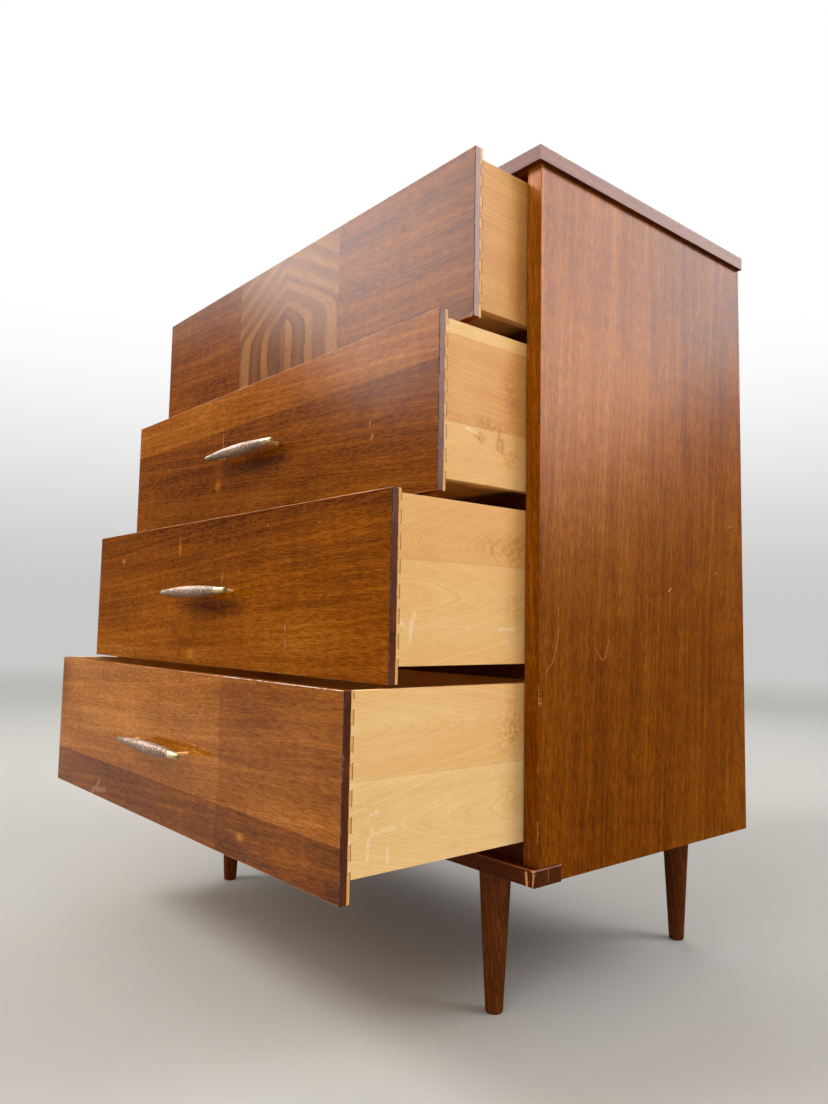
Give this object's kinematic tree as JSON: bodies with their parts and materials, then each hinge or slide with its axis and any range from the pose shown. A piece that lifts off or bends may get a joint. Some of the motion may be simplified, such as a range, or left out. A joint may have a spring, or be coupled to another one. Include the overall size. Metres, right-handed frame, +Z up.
{
  "type": "tallboy chest of drawers",
  "caption": "Freestanding wooden tallboy on tapered round legs, with dovetailed drawers that slide out by slim spindle pulls, for storing folded clothes.",
  "frame": {"origin": "on the ground, under the middle of the whole piece with its drawers as they stand open", "axes": "+Z up, +X to the right of someone who faces the drawers' fronts, +Y from the front to the back"},
  "size_m": [0.927, 0.7855, 1.1],
  "materials": {
    "walnut_veneer": "gloss lacquered, straight brown grain",
    "walnut_lipping": "gloss lacquered solid edge, worn at the corners",
    "dark_walnut": "satin lacquered, dark brown",
    "striped_inlay": "gloss lacquered veneer with pale stripes",
    "drawer_maple": "satin, pale honey with cathedral grain",
    "drawer_plywood": "plain thin sheet",
    "case_frame_wood": "plain sawn, dark red-brown",
    "back_hardboard": "matt brown pressed board",
    "pull_brass": "aged, ribbed between smooth ends",
    "plate_steel": "dull zinc plated"
  },
  "bodies": {
    "case": {"back_panel": "back_hardboard", "back_rail_1": "case_frame_wood", "back_rail_2": "case_frame_wood", "back_rail_3": "case_frame_wood", "base_rail": "dark_walnut", "bottom_panel": "case_frame_wood", "front_rail_1": "case_frame_wood", "front_rail_2": "case_frame_wood", "front_rail_3": "case_frame_wood", "front_rail_4": "case_frame_wood", "front_rail_top": "case_frame_wood", "leg_fixings": "plate_steel", "leg_front_left": "dark_walnut", "leg_front_right": "dark_walnut", "leg_plates": "plate_steel", "leg_rear_left": "dark_walnut", "leg_rear_right": "dark_walnut", "runner_left_1": "case_frame_wood", "runner_left_2": "case_frame_wood", "runner_left_3": "case_frame_wood", "runner_left_4": "case_frame_wood", "runner_right_1": "case_frame_wood", "runner_right_2": "case_frame_wood", "runner_right_3": "case_frame_wood", "runner_right_4": "case_frame_wood", "side_lipping_left": "walnut_lipping", "side_lipping_right": "walnut_lipping", "side_panel_left": "walnut_veneer", "side_panel_right": "walnut_veneer", "top_edge_front": "walnut_lipping", "top_edge_left": "walnut_lipping", "top_edge_right": "walnut_lipping", "top_panel": "walnut_veneer"},
    "drawer_1": {"drawer_1_back": "drawer_maple", "drawer_1_bottom": "drawer_plywood", "drawer_1_front": "walnut_veneer", "drawer_1_inlay": "striped_inlay", "drawer_1_side_left": "drawer_maple", "drawer_1_side_right": "drawer_maple"},
    "drawer_2": {"drawer_2_back": "drawer_maple", "drawer_2_bottom": "drawer_plywood", "drawer_2_front": "walnut_veneer", "drawer_2_side_left": "drawer_maple", "drawer_2_side_right": "drawer_maple", "pull_2_bar": "pull_brass", "pull_2_fixings": "pull_brass"},
    "drawer_3": {"drawer_3_back": "drawer_maple", "drawer_3_bottom": "drawer_plywood", "drawer_3_front": "walnut_veneer", "drawer_3_side_left": "drawer_maple", "drawer_3_side_right": "drawer_maple", "pull_3_bar": "pull_brass", "pull_3_fixings": "pull_brass"},
    "drawer_4": {"drawer_4_back": "drawer_maple", "drawer_4_bottom": "drawer_plywood", "drawer_4_front": "walnut_veneer", "drawer_4_side_left": "drawer_maple", "drawer_4_side_right": "drawer_maple", "pull_4_bar": "pull_brass", "pull_4_fixings": "pull_brass"}
  },
  "joints": [
    {"name": "drawer_1_slide", "type": "slide", "parent": "case", "child": "drawer_1", "axis": [0, -1, 0], "range_m": [-0.093, 0.267]},
    {"name": "drawer_2_slide", "type": "slide", "parent": "case", "child": "drawer_2", "axis": [0, -1, 0], "range_m": [-0.147, 0.213]},
    {"name": "drawer_3_slide", "type": "slide", "parent": "case", "child": "drawer_3", "axis": [0, -1, 0], "range_m": [-0.212, 0.148]},
    {"name": "drawer_4_slide", "type": "slide", "parent": "case", "child": "drawer_4", "axis": [0, -1, 0], "range_m": [-0.2695, 0.0905]}
  ]
}
